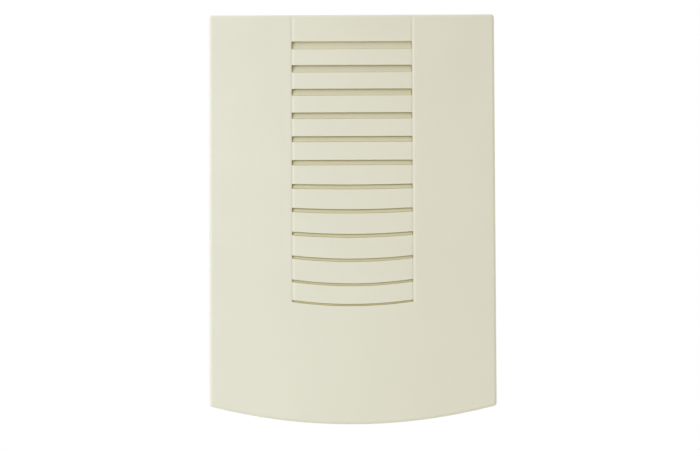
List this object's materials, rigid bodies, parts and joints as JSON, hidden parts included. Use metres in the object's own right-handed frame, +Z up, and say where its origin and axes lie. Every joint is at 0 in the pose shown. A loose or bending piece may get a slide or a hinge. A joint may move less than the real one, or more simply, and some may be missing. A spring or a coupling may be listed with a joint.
{
  "type": "doorbell chime box",
  "caption": "Wall-hung two-tone doorbell chime: moulded cover with graded louvre slots over a solenoid whose sprung plunger strikes steel tone plates.",
  "frame": {"origin": "on the wall plane, at the middle of the base plate's back face and of the wall screw slots", "axes": "+Z up the wall, +Y into the wall, +X to the right seen from the front"},
  "size_m": [0.133, 0.046, 0.19],
  "materials": {
    "cover_plastic": "fine moulded texture, cream",
    "base_plastic": "moulded, ivory",
    "nylon": "natural nylon",
    "enamelled_copper": "enamelled wire",
    "coil_tape": "polyester tape",
    "tone_steel": "rolled and polished steel",
    "zinc_steel": "zinc plated",
    "spring_steel": "drawn wire",
    "brass": "turned brass",
    "rubber": "moulded rubber",
    "block_plastic": "moulded, pale grey",
    "lead_red": "wire insulation",
    "lead_black": "wire insulation"
  },
  "bodies": {
    "base": {"base_plate": "base_plastic", "coil_bobbin": "nylon", "coil_winding": "enamelled_copper", "coil_tape": "coil_tape", "coil_pins": "zinc_steel", "solenoid_yoke": "zinc_steel", "yoke_screws": "zinc_steel", "guide_tube": "brass", "return_spring": "spring_steel", "tone_plate_low": "tone_steel", "tone_plate_high": "tone_steel", "plate_grommets": "rubber", "plate_washers": "zinc_steel", "plate_screws": "zinc_steel", "terminal_block": "block_plastic", "terminal_clamps": "brass", "terminal_screws": "zinc_steel", "block_screw": "zinc_steel", "coil_lead_left": "lead_black", "coil_lead_right": "lead_red"},
    "cover": {"front_cover": "cover_plastic", "louvre_screen": "cover_plastic"},
    "plunger": {"plunger_core": "tone_steel", "striker_tip_left": "nylon", "striker_tip_right": "nylon"}
  },
  "joints": [
    {"name": "plunger_slide", "type": "slide", "parent": "base", "child": "plunger", "axis": [1, 0, 0], "range_m": [-0.003, 0.01], "stiffness_N_per_m": 60, "deforming": ["return_spring"]},
    {"name": "cover_slide", "type": "slide", "parent": "base", "child": "cover", "axis": [0, -1, 0], "range_m": [0, 0.06]}
  ]
}
